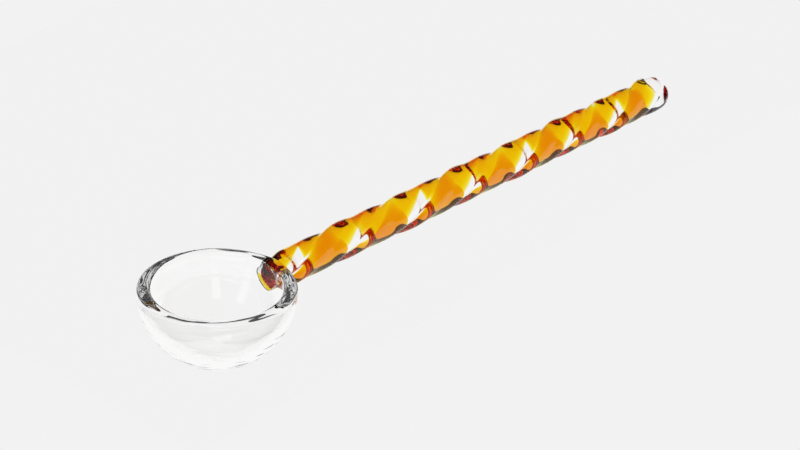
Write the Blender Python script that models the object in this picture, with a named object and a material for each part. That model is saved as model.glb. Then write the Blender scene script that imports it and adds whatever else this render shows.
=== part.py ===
"""A lampworked glass spoon: a clear hemispherical bowl with a handle of four twisted canes, two amber
and two clear, sealed through the bowl's wall just under the rim. It lies at rest on the bowl's seat
and the handle's tip. Lengths in metres."""

import math

import bpy
import numpy as np

MM = 0.001

# The bowl, measured from the middle of its widest circle.
BOWL_R = 18.0 * MM  # outside, at the widest
BOWL_DEPTH = 18.1 * MM  # outside, from the widest circle to the bottom
RIM_WIDTH = 3.2 * MM
MOUTH_R = BOWL_R - RIM_WIDTH
WALL = 2.2 * MM
RIM_DOME = 0.8 * MM  # the fire-polished top of the rim, above the widest circle
RIM_SQUARE = 0.75  # 1 makes the rim's top half an ellipse, and less makes it squarer
RIM_BEAD = 2.8 * MM  # how far down the inside the thicker rim fades out
RIM_RISE = 1.0 * MM  # how far the rim climbs to cover the handle's end
RISE_HALF = 4.2 * MM  # half the width of that climb
SEAT_R = 3.0 * MM  # the flat under the bowl

# The handle, measured along its axis from the bowl's upright axis.
END_BACK = 0.3 * MM  # how far its flat end stands back from the mouth
HANDLE_START = MOUTH_R + END_BACK
HANDLE_END = 142.1 * MM
HANDLE_DROP = 2.8 * MM  # its axis below the widest circle, at the bowl's upright axis
HANDLE_RISE = math.radians(1.0)  # its slope up from the rim's plane
LOBE_R = 4.4 * MM  # the axis to the crest of the fullest lobe
LOBE_SHARES = (1.0, 0.943, 0.955, 0.932)  # the four lobes' crests against the fullest one's
GROOVE_R = 3.45 * MM  # the axis to the two deep grooves
SHALLOW_R = 3.95 * MM  # the axis to the two shallow grooves between them
GROOVE_ANGLES = (50.0, 135.0, 226.0, 312.0)  # degrees round from FIRST_EDGE, deep and shallow by turns
NECK = 0.82  # how much of that size is left where the bowl's wall grips it
NECK_END = BOWL_R
NECK_FADE = 4.0 * MM
TIP_LENGTH = 3.4 * MM
TIP_FLAT = 0.35  # the share of the section left at the very end

# The twist turns from the side towards the top, going away from the bowl.
PITCH_START = 41.6 * MM
PITCH_END = 26.5 * MM
FIRST_EDGE = 82.0  # degrees from the top towards -Y, at HANDLE_START

# The amber canes lie along two sides of the clear ones, which meet in the middle.
AMBER_1 = (54.0, 184.0)  # degrees round the surface from FIRST_EDGE
AMBER_2 = (263.0, 362.0)
AMBER_INNER = 2.0 * MM  # the axis to the nearest amber
AMBER_BLUNT = 4.0  # how late the amber's inner face turns out towards the surface

SEAM = 0.18 * MM  # each cane stops this far short of the face it shares with the next
SOCKET_GAP = 0.3 * MM  # between the canes and the bowl's wall

BOWL_STEPS = 72
CANE_ARC = 8
CANE_FACE = 5
DEGREES_PER_STATION = 12.0

COLOURS = {"bowl": (0.86, 0.9, 0.9), "amber": (0.85, 0.45, 0.02), "clear": (0.8, 0.85, 0.86)}

# How far the spoon leans from level rim to rest, so that the tip touches the surface the seat is on.
CENTRE_Z = BOWL_DEPTH * math.sqrt(1 - (SEAT_R / BOWL_R) ** 2)


def tip_gap(lean):
    """Height of the handle's underside near its tip over the surface, for a lean in radians."""
    far = HANDLE_END - TIP_LENGTH
    up = far * math.sin(HANDLE_RISE) - HANDLE_DROP
    along = far * math.cos(HANDLE_RISE)
    return CENTRE_Z + up * math.cos(lean) - along * math.sin(lean) - LOBE_R * math.cos(lean - HANDLE_RISE)


def lean_at_rest():
    low, high = 0.0, 0.3
    for _ in range(50):
        middle = (low + high) / 2
        low, high = (middle, high) if tip_gap(middle) > 0 else (low, middle)
    return low


LEAN = lean_at_rest()


def at_rest(points):
    """Turns points about the bowl's middle from a level rim to the resting pose, with the seat at z = 0."""
    x, y, z = points[..., 0], points[..., 1], points[..., 2]
    c, s = math.cos(LEAN), math.sin(LEAN)
    return np.stack([c * x + s * z, y, CENTRE_Z - s * x + c * z], -1)


def along_handle(t, side, up):
    """Points at t along the handle's axis, side towards +Y and up from it, with the rim level."""
    c, s = math.cos(HANDLE_RISE), math.sin(HANDLE_RISE)
    return np.stack([c * t - s * up, side + 0 * t, s * t + c * up - HANDLE_DROP], -1)


def material(name, colour):
    mat = bpy.data.materials.new(name)
    mat.use_nodes = True
    shader = mat.node_tree.nodes["Principled BSDF"]
    shader.inputs["Base Color"].default_value = (*colour, 1)
    shader.inputs["Roughness"].default_value = 0.04
    shader.inputs["Metallic"].default_value = 0.0
    return mat


def mesh_object(name, points, faces, mat):
    mesh = bpy.data.meshes.new(name)
    mesh.from_pydata([tuple(p) for p in points], [], faces)
    mesh.validate()
    mesh.polygons.foreach_set("use_smooth", [True] * len(mesh.polygons))
    mesh.materials.append(mat)
    obj = bpy.data.objects.new(name, mesh)
    bpy.context.scene.collection.objects.link(obj)
    return obj


def tube_faces(rings, count, capped=True):
    """Quads between successive closed rings of count points, with both ends filled."""
    faces = []
    for i in range(rings - 1):
        for j in range(count):
            k = (j + 1) % count
            faces.append((i * count + j, i * count + k, (i + 1) * count + k, (i + 1) * count + j))
    if capped:
        faces.append(tuple(reversed(range(count))))
        faces.append(tuple(range((rings - 1) * count, rings * count)))
    return faces


def bowl_profile():
    """Radius and height from just beside the outside's bottom, over the rim, to just beside the inside's."""
    a = np.radians(np.linspace(-86, 0, 15))
    outside = np.stack([BOWL_R * np.cos(a), BOWL_DEPTH * np.sin(a)], -1)
    half, middle = (BOWL_R - MOUTH_R) / 2, (BOWL_R + MOUTH_R) / 2
    b = np.radians(np.linspace(0, 180, 9)[1:-1])
    across = middle + half * np.sign(np.cos(b)) * np.abs(np.cos(b)) ** RIM_SQUARE
    rim = np.stack([across, RIM_DOME * np.sin(b) ** RIM_SQUARE], -1)
    r, depth = BOWL_R - WALL, BOWL_DEPTH - WALL
    c = np.radians(np.linspace(0, -86, 13))
    bead = (r - MOUTH_R) * np.exp(-((depth * np.sin(c) / RIM_BEAD) ** 2))
    inside = np.stack([r * np.cos(c) - bead, depth * np.sin(c)], -1)
    return np.concatenate([outside, rim, inside])


def bowl():
    profile = bowl_profile()
    angle = np.linspace(0, 2 * np.pi, BOWL_STEPS, endpoint=False)
    radius, height = profile[:, :1], profile[:, 1:]
    turned = np.where(angle > np.pi, angle - 2 * np.pi, angle)
    share = np.clip(1 + height / (2 * RIM_BEAD), 0, 1)
    rise = RIM_RISE * np.exp(-((turned * BOWL_R / RISE_HALF) ** 2)) * share * share * (3 - 2 * share)
    points = np.stack([radius * np.cos(angle), radius * np.sin(angle), height + rise], -1).reshape(-1, 3)
    bottom = np.array([[0, 0, -BOWL_DEPTH], [0, 0, WALL - BOWL_DEPTH]])
    count = BOWL_STEPS
    faces = tube_faces(len(profile), count, capped=False)
    last = (len(profile) - 1) * count
    low, floor = len(points), len(points) + 1
    for j in range(count):
        k = (j + 1) % count
        faces.append((low, k, j))
        faces.append((floor, last + j, last + k))
    points = at_rest(np.concatenate([points, bottom]))
    obj = mesh_object("bowl", points, faces, material("bowl_glass", COLOURS["bowl"]))

    socket_r = NECK * LOBE_R + SOCKET_GAP
    turn = np.linspace(0, 2 * np.pi, 48, endpoint=False)
    ends = np.array([[MOUTH_R - 5 * MM], [BOWL_R + 5 * MM]])
    rings = along_handle(ends + 0 * turn, socket_r * np.cos(turn), socket_r * np.sin(turn))
    bore = mesh_object("bore", at_rest(rings.reshape(-1, 3)), tube_faces(2, len(turn)), obj.data.materials[0])
    size = BOWL_R
    square = np.array([[-1, -1], [1, -1], [1, 1], [-1, 1]]) * size
    slab = np.array([[*p, z] for z in (-size, 0.0) for p in square])
    below = mesh_object("below", slab, tube_faces(2, 4), obj.data.materials[0])
    for cutter in (bore, below):
        cutter.hide_render = True
        cut = obj.modifiers.new(cutter.name, "BOOLEAN")
        cut.operation, cut.solver, cut.object = "DIFFERENCE", "EXACT", cutter
    return obj


def turns(t):
    """Turns of twist between HANDLE_START and t, for a pitch that changes evenly along the handle."""
    change = (PITCH_START - PITCH_END) / (HANDLE_END - HANDLE_START)
    return -np.log(1 - change * (t - HANDLE_START) / PITCH_START) / change


def section(angle):
    """The fused bundle's radius at an angle in radians from FIRST_EDGE: half a sine from groove to groove."""
    start = np.radians(np.append(GROOVE_ANGLES, GROOVE_ANGLES[0] + 360))
    deep = np.array([GROOVE_R, SHALLOW_R, GROOVE_R, SHALLOW_R, GROOVE_R])
    at = np.mod(angle - start[0], 2 * np.pi) + start[0]
    which = np.clip(np.searchsorted(start, at, side="right") - 1, 0, 3)
    u = (at - start[which]) / (start[which + 1] - start[which])
    low = deep[which] * (1 - u) + deep[which + 1] * u
    return low + (LOBE_R * np.array(LOBE_SHARES)[which] - low) * np.sin(np.pi * u)


def amber_face(angle, edges, size, outward):
    """Radius of the face between an amber cane and the clear ones, moved outward by that distance."""
    turn = outward / (GROOVE_R * size)
    start, end = math.radians(edges[0]) + turn, math.radians(edges[1]) - turn
    u = np.clip((2 * angle - start - end) / (end - start), -1, 1)
    low = AMBER_INNER * size + outward
    return low + (section(angle) * size - low) * np.abs(u) ** AMBER_BLUNT


def stations():
    total = turns(HANDLE_END) * 360
    even = np.linspace(0, 1, int(total / DEGREES_PER_STATION))
    body = HANDLE_START + even * (HANDLE_END - TIP_LENGTH - HANDLE_START)
    angle = np.linspace(0, math.acos(TIP_FLAT), 8)[1:]
    tip = HANDLE_END - TIP_LENGTH + TIP_LENGTH * np.sin(angle) / math.sin(math.acos(TIP_FLAT))
    return np.concatenate([body, tip]), np.concatenate([np.ones(len(body)), np.cos(angle)])


def sizes():
    """Places along the axis, and the share of the section there."""
    t, tip_size = stations()
    neck = np.clip((t - NECK_END) / NECK_FADE, 0, 1)
    return t[:, None], (tip_size * (NECK + (1 - NECK) * neck * neck * (3 - 2 * neck)))[:, None]


def amber_section(edges, size):
    """Angle and radius round an amber cane: its share of the surface, then back along its inner face."""
    turn = SEAM / (GROOVE_R * size)
    start, end = math.radians(edges[0]) + turn, math.radians(edges[1]) - turn
    out = start + (end - start) * np.linspace(0, 1, CANE_ARC)
    back = end + (start - end) * np.linspace(0, 1, 2 * CANE_FACE)[1:-1]
    return np.concatenate([out, back], 1), np.concatenate(
        [section(out) * size, amber_face(back, edges, size, SEAM)], 1
    )


def clear_section(before, after, middle, size):
    """Angle and radius round a clear cane: its share of the surface, in along the next amber cane's face
    to the plane through the axis at the angle middle, and out along the face of the amber cane before it."""
    turn = SEAM / (GROOVE_R * size)
    start, end = math.radians(before[1]) + turn, math.radians(after[0]) - turn
    out = start + (end - start) * np.linspace(0, 1, CANE_ARC - 2)
    short = np.arcsin(SEAM / (AMBER_INNER * size - SEAM))
    share = np.linspace(0, 1, CANE_FACE + 1)
    inward = end + (middle - short - end) * share[1:]
    outward = start + (middle - math.pi + short - start) * share[:0:-1]
    core = np.full_like(size, middle - math.pi / 2)
    faces = amber_face(inward, after, size, -SEAM), amber_face(outward, before, size, -SEAM)
    return np.concatenate([out, inward, core, outward], 1), np.concatenate(
        [section(out) * size, faces[0], np.full_like(size, SEAM), faces[1]], 1
    )


def cane(name, t, angle, radius):
    """One cane: its section swept along the handle while it turns."""
    angle = angle + math.radians(FIRST_EDGE) - 2 * np.pi * turns(t)
    points = along_handle(t + 0 * radius, -radius * np.sin(angle), radius * np.cos(angle))
    return mesh_object(
        name,
        at_rest(points.reshape(-1, 3)),
        tube_faces(len(t), radius.shape[1]),
        material(name + "_glass", COLOURS[name.split("_")[0]]),
    )


for old in list(bpy.data.objects):
    bpy.data.objects.remove(old)

bowl()
t, size = sizes()
before_1 = (AMBER_2[0] - 360, AMBER_2[1] - 360)
middle = math.radians((before_1[1] + AMBER_1[0] + AMBER_1[1] + AMBER_2[0]) / 4)
cane("clear_cane_1", t, *clear_section(before_1, AMBER_1, middle, size))
cane("amber_cane_1", t, *amber_section(AMBER_1, size))
cane("clear_cane_2", t, *clear_section(AMBER_1, AMBER_2, middle + math.pi, size))
cane("amber_cane_2", t, *amber_section(AMBER_2, size))
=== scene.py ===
"""A lampworked glass spoon at rest on a pale table: a clear half-round bowl, and a handle of four fused
canes, two amber and two clear, twisted while hot. Lengths in metres."""

import math

import bpy
import numpy as np
from mathutils import Matrix, Vector


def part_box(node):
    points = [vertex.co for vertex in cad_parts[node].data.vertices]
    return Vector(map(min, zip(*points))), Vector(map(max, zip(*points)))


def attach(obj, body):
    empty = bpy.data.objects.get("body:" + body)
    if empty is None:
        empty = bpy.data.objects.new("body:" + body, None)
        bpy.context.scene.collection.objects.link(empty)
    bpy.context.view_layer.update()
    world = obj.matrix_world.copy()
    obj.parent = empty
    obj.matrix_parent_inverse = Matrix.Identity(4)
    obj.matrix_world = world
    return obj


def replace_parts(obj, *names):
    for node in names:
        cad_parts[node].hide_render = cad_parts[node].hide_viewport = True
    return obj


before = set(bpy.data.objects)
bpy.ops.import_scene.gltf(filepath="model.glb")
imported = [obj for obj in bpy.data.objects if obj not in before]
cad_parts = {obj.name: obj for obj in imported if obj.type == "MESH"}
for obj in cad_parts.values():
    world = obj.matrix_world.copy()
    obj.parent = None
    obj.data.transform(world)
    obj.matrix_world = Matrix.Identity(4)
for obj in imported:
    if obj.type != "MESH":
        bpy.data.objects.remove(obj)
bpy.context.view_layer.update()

# ---------------------------------------------------------------------------------------------------
# The bowl: clear glass shaped half-round in the flame, its rim fire-polished to a soft bead. It's a
# turned shape that leans at rest, and its rim climbs a little where it is melted over the handle.
# ---------------------------------------------------------------------------------------------------
MM = 0.001
SEAT_R = 3.0 * MM  # the flat it lies on
BOWL_DEPTH = 18.1 * MM  # from the rim's widest circle to the bottom, outside
MOUTH_R = 14.8 * MM
WALL = 2.2 * MM
RIM_DOME = 0.8 * MM  # the rim's top, above its widest circle
RIM_BEAD = 2.8 * MM  # how far down the inside the thicker rim fades out
RIM_SQUARE = 0.9  # 1 makes the rim's top half an ellipse, and less makes it squarer
RIM_RISE = 0.4 * MM  # how far the rim climbs over the handle, at the middle of the climb
RISE_HALF = 4.2 * MM
HANDLE_DROP = 2.8 * MM  # the handle's axis under the rim's widest circle, at the bowl's middle
HANDLE_RISE = math.radians(1.0)  # its slope up from the rim's plane
LOBE_R = 4.4 * MM  # the axis to the crest of the handle's fullest lobe
TIP_LENGTH = 3.4 * MM
HANDLE_END = 142.1 * MM  # along the axis from the bowl's upright axis

bowl_low, bowl_high = (np.array(corner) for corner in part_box("bowl"))
BOWL_R = (bowl_high[1] - bowl_low[1]) / 2
CENTRE_Z = BOWL_DEPTH * math.sqrt(1 - (SEAT_R / BOWL_R) ** 2)


def lean_at_rest():
    """The angle that brings the underside of the handle's tip down to the table, by halving."""
    far = HANDLE_END - TIP_LENGTH
    up, along = far * math.sin(HANDLE_RISE) - HANDLE_DROP, far * math.cos(HANDLE_RISE)
    low, high = 0.0, 0.3
    for _ in range(50):
        a = (low + high) / 2
        gap = CENTRE_Z + up * math.cos(a) - along * math.sin(a) - LOBE_R * math.cos(a - HANDLE_RISE)
        low, high = (a, high) if gap > 0 else (low, a)
    return low


LEAN = lean_at_rest()


def at_rest(points):
    """Turns points about the bowl's middle from a level rim to the way the spoon lies."""
    x, y, z = points[..., 0], points[..., 1], points[..., 2]
    c, s = math.cos(LEAN), math.sin(LEAN)
    return np.stack([c * x + s * z, y, CENTRE_Z - s * x + c * z], -1)


def surface(name, grid, ends):
    """A mesh from a grid of points whose rows are closed rings. Quads join each ring to the next, and at
    each end a fan of triangles closes the last ring to an end point."""
    rows, count = grid.shape[:2]
    ring = np.arange(count)
    start = np.arange(rows - 1)[:, None] * count
    after = np.roll(ring, -1)
    quads = np.stack([start + ring, start + after, start + count + after, start + count + ring], -1)
    quads = quads.reshape(-1, 4)
    first, last = rows * count, rows * count + 1
    top = (rows - 1) * count
    fans = np.concatenate(
        [
            np.stack([np.full(count, first), after, ring], -1),
            np.stack([np.full(count, last), top + ring, top + after], -1),
        ]
    )
    points = np.concatenate([grid.reshape(-1, 3), np.array(ends)])
    corners = np.concatenate([quads.ravel(), fans.ravel()]).astype(np.int32)
    totals = np.repeat([4, 3], [len(quads), len(fans)]).astype(np.int32)
    starts = np.cumsum(totals) - totals
    mesh = bpy.data.meshes.new(name)
    mesh.vertices.add(len(points))
    mesh.vertices.foreach_set("co", points.astype(np.float32).ravel())
    mesh.loops.add(len(corners))
    mesh.loops.foreach_set("vertex_index", corners)
    mesh.polygons.add(len(totals))
    mesh.polygons.foreach_set("loop_start", starts.astype(np.int32))
    mesh.polygons.foreach_set("loop_total", totals)
    mesh.polygons.foreach_set("use_smooth", np.ones(len(totals), bool))
    mesh.update(calc_edges=True)
    mesh.validate()
    piece = bpy.data.objects.new(name, mesh)
    bpy.context.scene.collection.objects.link(piece)
    return piece


def bowl_profile(steps):
    """Radius and height round the wall's section: up the outside as a quarter ellipse, over the rim as a
    flattened half circle, and down the inside as a smaller ellipse drawn in by a bell-shaped bead."""
    a = np.radians(np.linspace(-89, 0, steps)[:-1])
    outside = np.stack([BOWL_R * np.cos(a), BOWL_DEPTH * np.sin(a)], -1)
    half, middle = (BOWL_R - MOUTH_R) / 2, (BOWL_R + MOUTH_R) / 2
    b = np.radians(np.linspace(0, 180, steps // 3))
    across = middle + half * np.sign(np.cos(b)) * np.abs(np.cos(b)) ** RIM_SQUARE
    rim = np.stack([across, RIM_DOME * np.sin(b) ** RIM_SQUARE], -1)
    r, depth = BOWL_R - WALL, BOWL_DEPTH - WALL
    c = np.radians(np.linspace(0, -89, steps)[1:])
    bead = (r - MOUTH_R) * np.exp(-((depth * np.sin(c) / RIM_BEAD) ** 2))
    inside = np.stack([r * np.cos(c) - bead, depth * np.sin(c)], -1)
    return np.concatenate([outside, rim, inside])


def ripple(turn, along):
    """How far the glass stands proud, as a share of the most it could: the mean of cosines that each close
    round the bowl and slant a little, so that they cross like marks left by paddling hot glass."""
    rng = np.random.default_rng(11)
    total = 0.0
    for lobes in WAVES_ROUND:
        across, phase = rng.uniform(-1, 1) * WAVES_ACROSS, rng.uniform(0, 2 * np.pi)
        total = total + np.cos(lobes * turn + across * along + phase) / len(WAVES_ROUND)
    return total


WAVES_ROUND = (2, 3, 5, 7, 9, 12)  # whole waves in a turn of the bowl
WAVES_ACROSS = 3600  # the most radians of a wave in a metre of the wall's section
RIPPLE = 0.11 * MM  # depth of the waves left on the rim
RIPPLE_LEFT = 0.15  # the share of it left on the rest of the wall
profile = bowl_profile(steps=120)
turn = np.linspace(-np.pi, np.pi, 340, endpoint=False)
radius, height = profile[:, :1], profile[:, 1:]
share = np.clip(1 + height / (2 * RIM_BEAD), 0, 1)
climb = RIM_RISE * np.exp(-((turn * BOWL_R / RISE_HALF) ** 2)) * share * share * (3 - 2 * share)
travelled = np.cumsum(np.hypot(*np.diff(profile, axis=0, prepend=profile[:1]).T))[:, None]
slope = np.gradient(profile, axis=0)
slope /= np.linalg.norm(slope, axis=1, keepdims=True)
proud = RIPPLE * (RIPPLE_LEFT + (1 - RIPPLE_LEFT) * share**4) * ripple(turn, travelled)
radius = radius + slope[:, 1:] * proud
height = height - slope[:, :1] * proud
radius = radius * np.minimum(1, BOWL_R / np.max(radius))
grid = at_rest(np.stack([radius * np.cos(turn), radius * np.sin(turn), height + climb], -1))
grid[..., 2] = np.maximum(grid[..., 2], 0)
ends = at_rest(np.array([[0, 0, -BOWL_DEPTH], [0, 0, WALL - BOWL_DEPTH]]))
ends[0, 2] = 0
bowl = surface("bowl_glass", grid, ends)


def flame_marks():
    """A node group for glass worked in a flame. Height is a noise of soft dents and cords, Haze is a finer
    noise kept above a threshold, as where fumes touched the skin, and Tint blends from one colour to another
    as a broad noise goes from low to high."""
    group = bpy.data.node_groups.new("flame_marks", "ShaderNodeTree")
    for side, kind, names in (
        ("INPUT", "NodeSocketVector", ("Place",)),
        ("INPUT", "NodeSocketFloat", ("Marks per metre", "Most haze")),
        ("INPUT", "NodeSocketColor", ("Thin", "Rich")),
        ("OUTPUT", "NodeSocketFloat", ("Height", "Haze")),
        ("OUTPUT", "NodeSocketColor", ("Tint",)),
    ):
        for socket in names:
            group.interface.new_socket(name=socket, in_out=side, socket_type=kind)
    add, join = group.nodes.new, group.links.new
    given, made = add("NodeGroupInput"), add("NodeGroupOutput")

    def noise(share, detail, distortion):
        """A noise with that share of the marks in a metre."""
        scale, node = add("ShaderNodeMath"), add("ShaderNodeTexNoise")
        scale.operation = "MULTIPLY"
        scale.inputs[1].default_value = share
        join(given.outputs["Marks per metre"], scale.inputs[0])
        join(scale.outputs[0], node.inputs["Scale"])
        join(given.outputs["Place"], node.inputs["Vector"])
        node.inputs["Detail"].default_value = detail
        node.inputs["Distortion"].default_value = distortion
        return node.outputs["Fac"]

    join(noise(share=1.0, detail=2.0, distortion=0.6), made.inputs["Height"])
    haze = add("ShaderNodeMapRange")
    haze.inputs["From Min"].default_value = 0.52
    haze.inputs["From Max"].default_value = 0.75
    join(noise(share=2.3, detail=4.0, distortion=0.2), haze.inputs["Value"])
    join(given.outputs["Most haze"], haze.inputs["To Max"])
    join(haze.outputs[0], made.inputs["Haze"])
    blend, broad = add("ShaderNodeMix"), add("ShaderNodeMapRange")
    blend.data_type = "RGBA"
    broad.inputs["From Min"].default_value = 0.35
    broad.inputs["From Max"].default_value = 0.65
    join(noise(share=0.4, detail=1.0, distortion=0.0), broad.inputs["Value"])
    join(broad.outputs[0], blend.inputs["Factor"])
    join(given.outputs["Thin"], blend.inputs["A"])
    join(given.outputs["Rich"], blend.inputs["B"])
    join(blend.outputs["Result"], made.inputs["Tint"])
    return group


FLAME_MARKS = flame_marks()


def glass(name, thin, rich, marks, dent, haze, drawn=False, ior=1.47):
    """Flame-worked glass, from its thin tint to its rich one, with that many marks to the metre, dents as
    deep as dent, and at most that haze. Drawn glass has its marks along its own attribute, so that they
    turn with the twist."""
    mat = bpy.data.materials.new(name)
    mat.use_nodes = True
    nodes, links = mat.node_tree.nodes, mat.node_tree.links
    shader = nodes["Principled BSDF"]
    shader.inputs["IOR"].default_value = ior
    shader.inputs["Transmission Weight"].default_value = 1.0
    group = nodes.new("ShaderNodeGroup")
    group.node_tree = FLAME_MARKS
    group.inputs["Marks per metre"].default_value = marks
    group.inputs["Most haze"].default_value = haze
    group.inputs["Thin"].default_value = (*thin, 1)
    group.inputs["Rich"].default_value = (*rich, 1)
    if drawn:
        place = nodes.new("ShaderNodeAttribute")
        place.attribute_name = "drawn"
        links.new(place.outputs["Vector"], group.inputs["Place"])
    else:
        links.new(nodes.new("ShaderNodeTexCoord").outputs["Object"], group.inputs["Place"])
    bump = nodes.new("ShaderNodeBump")
    bump.inputs["Strength"].default_value = 1.0
    bump.inputs["Distance"].default_value = dent
    links.new(group.outputs["Height"], bump.inputs["Height"])
    links.new(bump.outputs["Normal"], shader.inputs["Normal"])
    links.new(group.outputs["Tint"], shader.inputs["Base Color"])
    links.new(group.outputs["Haze"], shader.inputs["Roughness"])
    return mat


CLEAR = (1.0, 1.0, 1.0)
LESS_CLEAR = (0.99, 0.99, 0.984)
bowl_finish = glass("clear_bowl", CLEAR, LESS_CLEAR, marks=260, dent=0.004 * MM, haze=0.02)
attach(bowl, "root")
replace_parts(bowl, "bowl")

# ---------------------------------------------------------------------------------------------------
# The handle's clear glass: the two clear canes and the skin that the flame draws over all four. The
# section has four lobes, and it turns left-handed, faster towards the tip, which is melted round.
# ---------------------------------------------------------------------------------------------------
HANDLE_START = MOUTH_R + 0.3 * MM
NECK = 0.82  # the share of its size that is left where the bowl's wall grips it
NECK_END = 18.0 * MM
NECK_FADE = 4.0 * MM
PITCH_START = 41.6 * MM
PITCH_END = 26.5 * MM
FIRST_EDGE = math.radians(82.0)  # from the top towards -Y, at HANDLE_START
# Each groove's angle from the first edge in degrees, its radius and that of the lobe after it in mm
GROOVES = ((50.0, 3.45, 4.4), (135.0, 3.95, 4.15), (226.0, 3.45, 4.2), (312.0, 3.95, 4.1))
SOFTENED = 12  # half degrees either way that the grooves are averaged over


def along_handle(t, side, up):
    """Points at t along the handle's axis, side towards +Y and up from it, with the rim level."""
    c, s = math.cos(HANDLE_RISE), math.sin(HANDLE_RISE)
    return np.stack([c * t - s * up, side + 0 * t, s * t + c * up - HANDLE_DROP], -1)


def twist(t):
    """Angle turned between HANDLE_START and t, for a pitch that changes evenly along the handle."""
    change = (PITCH_START - PITCH_END) / (HANDLE_END - HANDLE_START)
    return -2 * np.pi * np.log(1 - change * (t - HANDLE_START) / PITCH_START) / change


def section_radius(angle):
    """The fused bundle's radius at an angle from the first cane's edge: between two grooves it swells to
    a lobe as half a sine, and the grooves are softened by averaging over a few degrees."""
    fine = np.arange(720) / 2  # every half degree
    start, deep, crest = np.array([*GROOVES, GROOVES[0]]).T
    start[-1] += 360
    at = np.mod(fine - start[0], 360) + start[0]
    which = np.clip(np.searchsorted(start, at, side="right") - 1, 0, 3)
    u = (at - start[which]) / (start[which + 1] - start[which])
    low = deep[which] * (1 - u) + deep[which + 1] * u
    r = (low + (crest[which] - low) * np.sin(np.pi * u)) * MM
    reach = 2 * SOFTENED
    kernel = np.exp(-((np.arange(-reach, reach + 1) / SOFTENED) ** 2))
    r = np.convolve(np.concatenate([r[-reach:], r, r[:reach]]), kernel / kernel.sum(), "valid")
    return np.interp(np.mod(np.degrees(angle), 360), np.append(fine, 360), np.append(r, r[0]))


def handle_stations(step):
    """Places along the axis and the share of the section there: a small round off the flat end, the body,
    and the melted tip."""
    a = np.radians(np.linspace(90, 0, 7)[:-1])
    flat = HANDLE_START + END_ROUND * (1 - np.sin(a))
    tip_start = HANDLE_END - TIP_LENGTH
    body = np.linspace(HANDLE_START + END_ROUND, tip_start, int((HANDLE_END - HANDLE_START) / step))
    b = np.radians(np.linspace(0, 90, 22)[1:-1])
    t = np.concatenate([flat, body, tip_start + TIP_LENGTH * np.sin(b)])
    neck = np.clip((t - NECK_END) / NECK_FADE, 0, 1)
    size = NECK + (1 - NECK) * neck * neck * (3 - 2 * neck)
    size[: len(a)] -= END_ROUND / LOBE_R * (1 - np.cos(a))
    size[-len(b) :] *= np.cos(b) ** TIP_SQUARE
    return t, size


def round_the_axis(t, ring_angle, ring_r):
    """Points of a section turned with the twist at each place along the axis."""
    angle = FIRST_EDGE + ring_angle - twist(t)[:, None]
    side, up = -ring_r * np.sin(angle), ring_r * np.cos(angle)
    return at_rest(along_handle(t[:, None] + 0 * ring_r, side, up))


def mark_drawn(piece, t, ring_angle, r):
    """Gives each point its place in the bundle before it was twisted and drawn out: the section as it is,
    and the length shrunk to a share, so that a pattern read there runs along the canes."""
    length = t * DRAWN_OUT
    before = np.stack([r * np.cos(ring_angle), r * np.sin(ring_angle), length[:, None] + 0 * r], -1)
    ends = [[0, 0, length[0]], [0, 0, length[-1]]]
    before = np.concatenate([before.reshape(-1, 3), ends]).astype(np.float32)
    drawn = piece.data.attributes.new("drawn", "FLOAT_VECTOR", "POINT")
    drawn.data.foreach_set("vector", before.ravel())


END_ROUND = 0.15 * MM  # the round off the edge of the flat end
TIP_SQUARE = 0.9  # 1 makes the melted tip an ellipse, and less makes it blunter
DRAWN_OUT = 0.12  # the share of its length that the bundle had before it was drawn out
stations, sizes = handle_stations(step=0.4 * MM)
around = np.linspace(0, 2 * np.pi, 120, endpoint=False)
face = np.linspace(0.1, 0.99, 8)  # rings on the flat end, as shares of its edge
with_face = np.concatenate([np.full(len(face), stations[0]), stations])
skin = section_radius(around) * np.concatenate([face * sizes[0], sizes])[:, None]
ends = at_rest(along_handle(np.array([HANDLE_START, HANDLE_END]), 0.0, np.zeros(2)))
handle = surface("handle_glass", round_the_axis(with_face, around, skin), ends)
mark_drawn(handle, with_face, around, skin)

# The wall is melted round the handle: its hole is a hair smaller than the handle, with the same index
GRIP = 0.03 * MM
BORE_PAST = 4 * MM  # how far the cutter runs past each side of the wall
bore_t = np.linspace(MOUTH_R - BORE_PAST, BOWL_R + BORE_PAST, 60)
bore_r = section_radius(around)[None, :] * np.interp(bore_t, stations, sizes)[:, None] - GRIP
grid = round_the_axis(bore_t, around, bore_r)
bore = surface("bore", grid, grid[[0, -1]].mean(1))
cut = bowl.modifiers.new("bore", "BOOLEAN")
cut.operation, cut.solver, cut.object = "DIFFERENCE", "EXACT", bore
whole = bpy.data.meshes.new_from_object(bowl.evaluated_get(bpy.context.evaluated_depsgraph_get()))
bowl.modifiers.clear()
bowl.data = whole
bpy.data.objects.remove(bore)
bowl.data.materials.clear()
bowl.data.materials.append(bowl_finish)

handle.data.materials.append(
    glass("clear_handle", CLEAR, LESS_CLEAR, marks=700, dent=0.006 * MM, haze=0.02, drawn=True)
)
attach(handle, "root")
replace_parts(handle, "clear_cane_1", "clear_cane_2")

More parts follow.
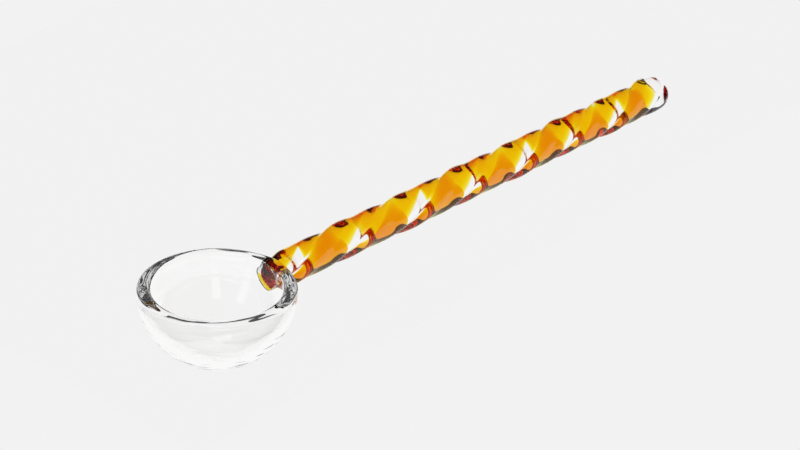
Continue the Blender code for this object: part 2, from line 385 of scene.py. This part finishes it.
# ---------------------------------------------------------------------------------------------------
# The amber canes: two sectors of the bundle, coloured through and fused to the clear ones. The handle's
# skin already bends the light, so their own faces bend none, and the depth of amber crossed tints it.
# ---------------------------------------------------------------------------------------------------
PROUD = 0.01 * MM  # how far the amber stands out of the clear skin, so that the two never share a face
AMBER_INNER = 2.0 * MM  # the axis to the nearest amber
AMBER_EDGES = np.radians([[54.0, 184.0], [263.0, 362.0]])  # round the surface from the first edge
AMBER_BLUNT = 4.0  # how late the inner face turns out towards the surface
AMBER_SHORT = 5.4 * MM  # the clear glass runs on this far past the amber, over the tip
AMBER_FADE = 3.0 * MM  # the stretch before that over which the amber thins
SLIVER = 0.08  # the share of its thickness left where it ends
AMBER_TAKES = (25.0, 250.0, 3600.0)  # what a metre of it takes from red, green and blue, as exponents
UNBENT = 1.0
RICH_AMBER = (1.0, 0.93, 0.8)
amber = glass("amber", CLEAR, RICH_AMBER, marks=420, dent=0.006 * MM, haze=0.0, drawn=True, ior=UNBENT)
nodes, links = amber.node_tree.nodes, amber.node_tree.links
tint = nodes.new("ShaderNodeVolumeAbsorption")
tint.inputs["Color"].default_value = (*[1 - takes / max(AMBER_TAKES) for takes in AMBER_TAKES], 1)
tint.inputs["Density"].default_value = max(AMBER_TAKES)
links.new(tint.outputs[0], nodes["Material Output"].inputs["Volume"])


def amber_ring(start, end, count):
    """Angle and radius round one cane's section: its outer arc, then back along an inner face that keeps
    its distance from the axis and turns out to the surface near both edges."""
    width = end - start
    arc = np.linspace(0, width, 3 * count)
    u = np.linspace(1, -1, 3 * count)[1:-1]
    inner_angle = (u + 1) * width / 2
    rim = section_radius(start + inner_angle)
    inner = AMBER_INNER + (rim - AMBER_INNER) * np.abs(u) ** AMBER_BLUNT
    return start + np.concatenate([arc, inner_angle]), np.concatenate([section_radius(start + arc), inner])


def amber_cane(name, edges):
    """One amber cane: its section carried along the twist, thinned to a sliver before the tip as a quarter
    circle falls."""
    ring_angle, ring_r = amber_ring(*edges, 14)
    t = stations[stations < HANDLE_END - AMBER_SHORT]
    left = np.clip((t[-1] - t) / AMBER_FADE, 0, 1)[:, None]
    thick = SLIVER + (1 - SLIVER) * np.sqrt(1 - (1 - left) ** 2)
    rim = section_radius(ring_angle)[None, :]
    r = (rim + (ring_r[None, :] - rim) * thick) * sizes[: len(t), None] + PROUD
    t[0] -= PROUD
    grid = round_the_axis(t, ring_angle, r)
    piece = surface(name, grid, grid[[0, -1]].mean(1))
    mark_drawn(piece, t, ring_angle, r)
    piece.data.materials.append(amber)
    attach(piece, "root")
    return piece


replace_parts(amber_cane("amber_1", AMBER_EDGES[0]), "amber_cane_1")
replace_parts(amber_cane("amber_2", AMBER_EDGES[1]), "amber_cane_2")

# ---------------------------------------------------------------------------------------------------
# The table: a small sheet of matt board that glows as evenly as the backdrop behind it. It reaches just
# past the bowl on the near side, so that the rim's front edge catches the dark under the board.
# ---------------------------------------------------------------------------------------------------
BOARD_GLOW = 0.88
IN_THE_GLASS = 1.08  # how much brighter the glass sees the board than the camera does


def glowing_board(name, low, high, z, shade, glow):
    """A flat rectangle between two corners, in a matt shade that glows."""
    mesh = bpy.data.meshes.new(name)
    (x0, y0), (x1, y1) = low, high
    mesh.from_pydata([(x0, y0, z), (x1, y0, z), (x1, y1, z), (x0, y1, z)], [], [(0, 1, 2, 3)])
    mat = bpy.data.materials.new(name)
    mat.use_nodes = True
    shader = mat.node_tree.nodes["Principled BSDF"]
    shader.inputs["Base Color"].default_value = (shade, shade, shade, 1)
    shader.inputs["Roughness"].default_value = 0.6
    shader.inputs["Specular IOR Level"].default_value = 0.0
    shader.inputs["Emission Color"].default_value = (1, 1, 1, 1)
    seen = mat.node_tree.nodes.new("ShaderNodeLightPath")
    level = mat.node_tree.nodes.new("ShaderNodeMapRange")
    level.inputs["To Min"].default_value = glow * IN_THE_GLASS
    level.inputs["To Max"].default_value = glow
    mat.node_tree.links.new(seen.outputs["Is Camera Ray"], level.inputs["Value"])
    mat.node_tree.links.new(level.outputs[0], shader.inputs["Emission Strength"])
    mesh.materials.append(mat)
    board = bpy.data.objects.new(name, mesh)
    bpy.context.scene.collection.objects.link(board)


glowing_board("table", (-0.03, -0.024), (0.22, 0.14), z=-0.2 * MM, shade=0.02, glow=BOARD_GLOW)

# ---------------------------------------------------------------------------------------------------
# The studio: an even pale backdrop behind the board. The glass itself sees a pale floor that runs on
# below the horizon, and a dark room above it and close under the board's edge.
# ---------------------------------------------------------------------------------------------------
BACKDROP = 0.888
DARK_ROOM = 0.05
FLOOR_FROM = 0.08  # how steeply down the pale floor begins, as the drop in a step of 1
FLOOR_TO = 0.55
FLOOR_GONE = 0.62
world = bpy.data.worlds.new("studio")
bpy.context.scene.world = world
world.use_nodes = True
nodes, links = world.node_tree.nodes, world.node_tree.links
backdrop, around_glass = nodes["Background"], nodes.new("ShaderNodeBackground")
backdrop.inputs["Color"].default_value = (1, 1, 1, 1)
backdrop.inputs["Strength"].default_value = BACKDROP
around_glass.inputs["Color"].default_value = (1, 1, 1, 1)
way = nodes.new("ShaderNodeTexCoord")
parts = nodes.new("ShaderNodeSeparateXYZ")
drop = nodes.new("ShaderNodeMath")
drop.operation = "MULTIPLY"
drop.inputs[1].default_value = -1.0
ramp = nodes.new("ShaderNodeValToRGB")
stops = ramp.color_ramp.elements
stops[1].position = FLOOR_GONE
for stop in stops:
    stop.color = (DARK_ROOM, DARK_ROOM, DARK_ROOM, 1)
for steep in (FLOOR_FROM, FLOOR_TO):
    stops.new(steep).color = (BOARD_GLOW, BOARD_GLOW, BOARD_GLOW, 1)
seen = nodes.new("ShaderNodeLightPath")
either = nodes.new("ShaderNodeMixShader")
links.new(way.outputs["Generated"], parts.inputs[0])
links.new(parts.outputs["Z"], drop.inputs[0])
links.new(drop.outputs[0], ramp.inputs["Fac"])
links.new(ramp.outputs["Color"], around_glass.inputs["Strength"])
links.new(seen.outputs["Is Camera Ray"], either.inputs[0])
links.new(around_glass.outputs[0], either.inputs[1])
links.new(backdrop.outputs[0], either.inputs[2])
links.new(either.outputs[0], nodes["World Output"].inputs["Surface"])


def softbox(name, direction, distance, width, depth, radiance):
    """A flat lamp at a distance from the bowl, facing it, as bright all over as that radiance."""
    lamp = bpy.data.lights.new(name, "AREA")
    lamp.shape, lamp.size, lamp.size_y = "RECTANGLE", width, depth
    lamp.energy = radiance * math.pi * width * depth
    place = Vector(direction).normalized() * distance
    box = bpy.data.objects.new(name, lamp)
    box.location = place
    box.rotation_euler = place.to_track_quat("Z", "Y").to_euler()
    bpy.context.scene.collection.objects.link(box)


LAMP_FAR = 0.9
softbox("over_left_shoulder", (-0.85, 0.0, 0.5), LAMP_FAR, width=0.2, depth=0.5, radiance=0.75)
softbox("over_right_shoulder", (-0.55, -0.7, 0.5), LAMP_FAR, width=0.2, depth=0.5, radiance=0.75)
softbox("overhead", (0.05, 0.1, 1.0), LAMP_FAR, width=0.35, depth=0.35, radiance=1.0)

# Light takes many turns inside a twisted rod before it leaves, and plain white has to stay plain
MOST_TURNS = 48
scene = bpy.context.scene
scene.view_settings.view_transform = "Standard"
scene.cycles.max_bounces = MOST_TURNS
scene.cycles.transmission_bounces = MOST_TURNS
scene.cycles.glossy_bounces = 16
scene.cycles.transparent_max_bounces = MOST_TURNS

# ---------------------------------------------------------------------------------------------------
# The camera: a long lens over the bowl's near side. Its place is worked out with the rim level, where
# its height over the rim's plane is plain, and turned with the spoon to the way it lies.
# ---------------------------------------------------------------------------------------------------
CAMERA_FAR = 1.2
CAMERA_UP = math.radians(29.77)  # over the rim's plane
CAMERA_ROUND = math.radians(41.81)  # the way it faces, from +Y towards +X
CAMERA_ROLL = math.radians(0.45)
LENS = 243.7  # mm, on a sensor 36 mm wide
AIM_RIGHT, AIM_UP = 40.55 * MM, 14.23 * MM  # from the bowl's middle to the middle of the view

ce, se = math.cos(CAMERA_UP), math.sin(CAMERA_UP)
ca, sa = math.cos(CAMERA_ROUND), math.sin(CAMERA_ROUND)
right = np.array([ca, -sa, 0.0])
upward = np.array([se * sa, se * ca, ce])
forward = np.array([ce * sa, ce * ca, -se])
cr, sr = math.cos(CAMERA_ROLL), math.sin(CAMERA_ROLL)
right, upward = cr * right - sr * upward, sr * right + cr * upward
place = -CAMERA_FAR * forward
aim = right * AIM_RIGHT + upward * AIM_UP - place
aim /= np.linalg.norm(aim)
side = np.cross(aim, upward)
side /= np.linalg.norm(side)
over = np.cross(side, aim)
to_rest = at_rest(np.eye(3)) - at_rest(np.zeros(3))
side, over, back = (v @ to_rest for v in (side, over, -aim))
camera_data = bpy.data.cameras.new("camera")
camera_data.lens = LENS
camera_data.clip_end = 10
camera = bpy.data.objects.new("camera", camera_data)
scene.collection.objects.link(camera)
spot = at_rest(place)
camera.matrix_world = Matrix([*zip(side, over, back, spot), (0, 0, 0, 1)])
scene.camera = camera
